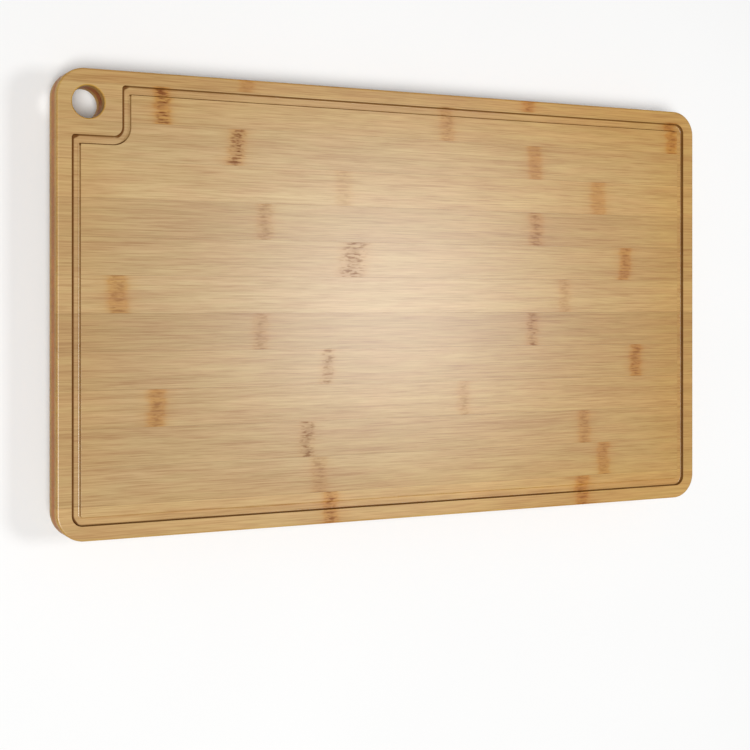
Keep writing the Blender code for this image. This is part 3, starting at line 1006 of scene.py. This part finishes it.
def foot_rings(feet, low, high):
    """Rings of a foot: a closed profile of outside, top, bore and recess, turned and then fluted.

    Above the plain band the radius is drawn in by the flute depth times half of one minus the cosine of
    the angle times the number of flutes, so that the ribs between the flutes are round.
    """
    edge, lip, bead, bevel, run_out = 0.8 * MM, 0.4 * MM, 0.25 * MM, 0.3 * MM, 0.9 * MM
    top_radius = (high.x - low.x) / 2
    slope = (top_radius - feet.bottom_radius) / high.z
    band_top = feet.band_height
    band_radius = feet.bottom_radius + slope * band_top
    side_top = high.z - bevel
    roof = high.z - feet.roof
    side_z = np.concatenate((
        np.linspace(band_top, band_top + run_out, 9)[1:],
        np.linspace(band_top + run_out, side_top, 12)[1:],
    ))
    profile = np.vstack((
        quarter((feet.recess_radius, lip), (feet.recess_radius + lip, 0.0), 0, 4),
        quarter((feet.bottom_radius - edge, 0.0), (feet.bottom_radius, edge), 1, 6),
        [(band_radius - slope * bead, band_top - bead), (band_radius, band_top)],
        np.column_stack((feet.bottom_radius + slope * side_z, side_z)),
        quarter((top_radius - slope * bevel, side_top), (top_radius - bevel, high.z), 0, 3)[1:],
        quarter((feet.bore_radius + bevel, high.z), (feet.bore_radius, side_top), 1, 3),
        [(feet.bore_radius, roof), (feet.recess_radius, roof)],
    ))
    facets = 8 * feet.flutes
    rings = turned(profile, (0.0, 0.0), facets)
    angle = np.linspace(0, 2 * np.pi, facets, endpoint=False)
    outside = profile[:, 0] > feet.recess_radius + 2 * MM
    rise = np.clip((profile[:, 1] - band_top) / run_out, 0, 1)
    sunk = np.where(outside, rise * rise * (3 - 2 * rise), 0.0) * feet.flute_depth
    valley = 0.5 - 0.5 * np.cos(feet.flutes * angle)
    drawn_in = 1 - sunk[:, None] * valley / np.maximum(profile[:, :1], MM)
    rings[..., :2] *= drawn_in[..., None]
    rings[..., :2] += axis_of(low, high)
    return rings


class CUTTINGBOARD_OT_washers(Operator):
    """Make the flat washers inside the feet"""

    bl_idname = "cutting_board.washers"
    bl_label = "Washers"
    bl_options = {"REGISTER", "UNDO"}

    def execute(self, context):
        hardware, feet = context.scene.board_hardware, context.scene.board_feet
        material = zinc_material(hardware)
        burr = 0.15 * MM
        for place in PLACES:
            node = "foot_washer_" + place
            low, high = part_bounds(node)
            bore, rim = feet.bore_radius, (high.x - low.x) / 2
            profile = np.vstack((
                quarter((bore, low.z + burr), (bore + burr, low.z), 0, 3),
                quarter((rim - burr, low.z), (rim, low.z + burr), 1, 3),
                quarter((rim, high.z - burr), (rim - burr, high.z), 0, 3),
                quarter((bore + burr, high.z), (bore, high.z - burr), 1, 3),
            ))
            rings = turned(profile, axis_of(low, high), facets=64)
            washer = skinned("flat_washer_" + place, rings, joined=True)
            shade(washer, sharp=math.radians(50))
            hand_over(washer, material, "zinc_plated_steel", node)
        return {"FINISHED"}


def screw_rings(hardware, low, high):
    """Rings of a screw from its crown up: a pan head, and a shank whose thread climbs as it turns.

    The shank's radius is its root plus the thread's depth times a ridge, which rises and falls once as
    the height over the pitch, less the share of a turn, goes from one whole number to the next. The
    ridge fades in under the head, and the whole shank narrows to its point.
    """
    bevel, plain, point = 0.1 * MM, 3 * MM, 4 * MM
    facets, rings_along, ridge_share = 48, 132, 0.32
    head_radius = (high.x - low.x) / 2
    head_top = low.z + hardware.head_height
    crown = hardware.cross_span / 2 + 0.35 * MM
    rim = low.z + 0.62 * hardware.head_height
    head = np.vstack((
        [(0.05 * MM, low.z), (crown * 0.6, low.z)],
        quarter((crown * 0.8, low.z + 0.02 * MM), (head_radius, rim), 1, 8),
        [(head_radius, head_top - bevel), (head_radius - bevel, head_top)],
        [(hardware.shank_radius + bevel, head_top)],
    ))
    shank_z = np.linspace(head_top + bevel, high.z, rings_along)
    shank = np.column_stack((np.ones_like(shank_z), shank_z))
    rings = turned(np.vstack((head, shank)), (0.0, 0.0), facets)
    turn = np.linspace(0, 1, facets, endpoint=False)
    phase = (shank_z[:, None] / hardware.pitch - turn) % 1.0
    ridge = np.clip(1 - np.abs(phase - 0.5) / ridge_share, 0, 1)
    fade = np.clip((shank_z - head_top - plain) / hardware.pitch, 0, 1)[:, None]
    root = hardware.shank_radius - hardware.thread_depth * fade
    narrowing = np.clip((high.z - shank_z) / point, 0.02, 1)[:, None]
    radius = (root + hardware.thread_depth * fade * ridge) * np.sqrt(narrowing)
    rings[len(head):, :, :2] *= radius[..., None]
    rings[..., :2] += axis_of(low, high)
    return rings


def cross_cutter(hardware, place, centre, crown):
    """A cross-shaped punch that narrows as it goes in, to three quarters of its span."""
    arm, half = hardware.cross_span / 2, hardware.cross_width / 2
    x = np.array((arm, arm, half, half, -half, -half, -arm, -arm, -half, -half, half, half))
    y = np.array((-half, half, half, arm, arm, half, half, -half, -half, -arm, -arm, -half))
    outline = np.stack((x, y), axis=-1)
    rings = [
        np.column_stack((outline * size + centre, np.full(len(outline), crown + rise)))
        for size, rise in ((1.1, -0.5 * MM), (1.0, 0.0), (0.75, hardware.cross_depth))
    ]
    return skinned("cross_punch_" + place, np.stack(rings))


class CUTTINGBOARD_OT_screws(Operator):
    """Make the pan-head screws that hold the feet"""

    bl_idname = "cutting_board.screws"
    bl_label = "Screws"
    bl_options = {"REGISTER", "UNDO"}

    def execute(self, context):
        hardware = context.scene.board_hardware
        material = zinc_material(hardware)
        for place in PLACES:
            node = "foot_screw_" + place
            low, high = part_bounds(node)
            screw = skinned("wood_screw_" + place, screw_rings(hardware, low, high))
            punch = cross_cutter(hardware, place, axis_of(low, high), low.z)
            boolean(screw, "DIFFERENCE", punch)
            settle(screw)
            discard(punch)
            shade(screw, sharp=math.radians(40))
            hand_over(screw, material, "zinc_plated_steel", node)
        return {"FINISHED"}


def soft_box(name, place, aim, size, power):
    """A square studio light at a place, turned to face a point."""
    lamp = bpy.data.lights.new(name, "AREA")
    lamp.shape = "SQUARE"
    lamp.size = size
    lamp.energy = power
    light = bpy.data.objects.new(name, lamp)
    light.location = place
    towards = np.array(aim) - np.array(place)
    flat = math.hypot(towards[0], towards[1])
    light.rotation_euler = (math.atan2(flat, -towards[2]), 0.0, math.atan2(-towards[0], towards[1]))
    bpy.context.scene.collection.objects.link(light)


class CUTTINGBOARD_OT_studio(Operator):
    """Lay the floor, hang the lights and set up the camera"""

    bl_idname = "cutting_board.studio"
    bl_label = "Studio"
    bl_options = {"REGISTER", "UNDO"}

    def execute(self, context):
        scene, studio = context.scene, context.scene.board_studio
        reach, thickness = 4.0, 0.02
        floor = block("studio_floor", (-reach, -reach, -thickness), (reach, reach, 0.0))
        floor.data.materials.append(floor_material(studio))
        floor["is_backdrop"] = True

        world = bpy.data.worlds.new("Studio Room")
        world.use_nodes = True
        room = world.node_tree.nodes["Background"].inputs
        room["Strength"].default_value = studio.room
        room["Color"].default_value = (1.0, 1.0, 1.0, 1.0)
        scene.world = world
        target = (0.0, 0.0, FACE)
        soft_box("Key Light", place=(-1.20, -0.72, 3.60), aim=target, size=1.27, power=studio.key)
        soft_box("Overhead Light", place=(0.67, 0.0, 1.42), aim=target, size=0.36, power=studio.overhead)

        lens = bpy.data.cameras.new("Product Camera")
        lens.lens = studio.lens
        lens.sensor_width = 36.0
        lens.shift_y = studio.rise
        camera = bpy.data.objects.new("Product Camera", lens)
        off, up = studio.distance * math.sin(studio.lean), studio.distance * math.cos(studio.lean)
        camera.location = (-off, 0.0, FACE + up)
        camera.rotation_euler = (0.0, -studio.tilt, 0.0)
        scene.collection.objects.link(camera)
        scene.camera = camera
        scene.view_settings.view_transform = "Standard"
        scene.view_settings.look = "None"
        return {"FINISHED"}


MAKERS = (
    CUTTINGBOARD_OT_top_ply,
    CUTTINGBOARD_OT_bottom_ply,
    CUTTINGBOARD_OT_core_ply,
    CUTTINGBOARD_OT_feet,
    CUTTINGBOARD_OT_washers,
    CUTTINGBOARD_OT_screws,
    CUTTINGBOARD_OT_studio,
)


class CUTTINGBOARD_PT_panel(Panel):
    """Buttons that make the board, and its sizes and colours"""

    bl_label = "Bamboo Cutting Board"
    bl_idname = "CUTTINGBOARD_PT_panel"
    bl_space_type = "VIEW_3D"
    bl_region_type = "UI"
    bl_category = "Cutting Board"

    def draw(self, context):
        for maker in MAKERS:
            self.layout.operator(maker.bl_idname)
        for name, kind in SETTINGS.items():
            box = self.layout.box()
            box.label(text=kind.__doc__.rstrip("."))
            settings = getattr(context.scene, name)
            for prop in kind.__annotations__:
                box.prop(settings, prop)


SETTINGS = {
    "board_shape": BoardShape,
    "bamboo_finish": BambooFinish,
    "board_feet": FootShape,
    "board_hardware": HardwareShape,
    "board_studio": StudioSetup,
}
CLASSES = (*SETTINGS.values(), *MAKERS, CUTTINGBOARD_PT_panel)


def register():
    """Registers the classes and gives every scene their settings."""
    for kind in CLASSES:
        bpy.utils.register_class(kind)
    for name, kind in SETTINGS.items():
        setattr(bpy.types.Scene, name, PointerProperty(type=kind))


def unregister():
    """Takes the settings and the classes away again."""
    for name in SETTINGS:
        delattr(bpy.types.Scene, name)
    for kind in reversed(CLASSES):
        bpy.utils.unregister_class(kind)


def main():
    """Makes the board and its studio, and works out the part's box and the visual model's."""
    register()
    bpy.ops.cutting_board.top_ply()
    bpy.ops.cutting_board.bottom_ply()
    bpy.ops.cutting_board.core_ply()
    bpy.ops.cutting_board.feet()
    bpy.ops.cutting_board.washers()
    bpy.ops.cutting_board.screws()
    bpy.ops.cutting_board.studio()
    boxes = {"part": part_box, "visual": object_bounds()}
    sizes = {name: [[float(x) for x in corner] for corner in box] for name, box in boxes.items()}


if __name__ == "__main__":
    main()
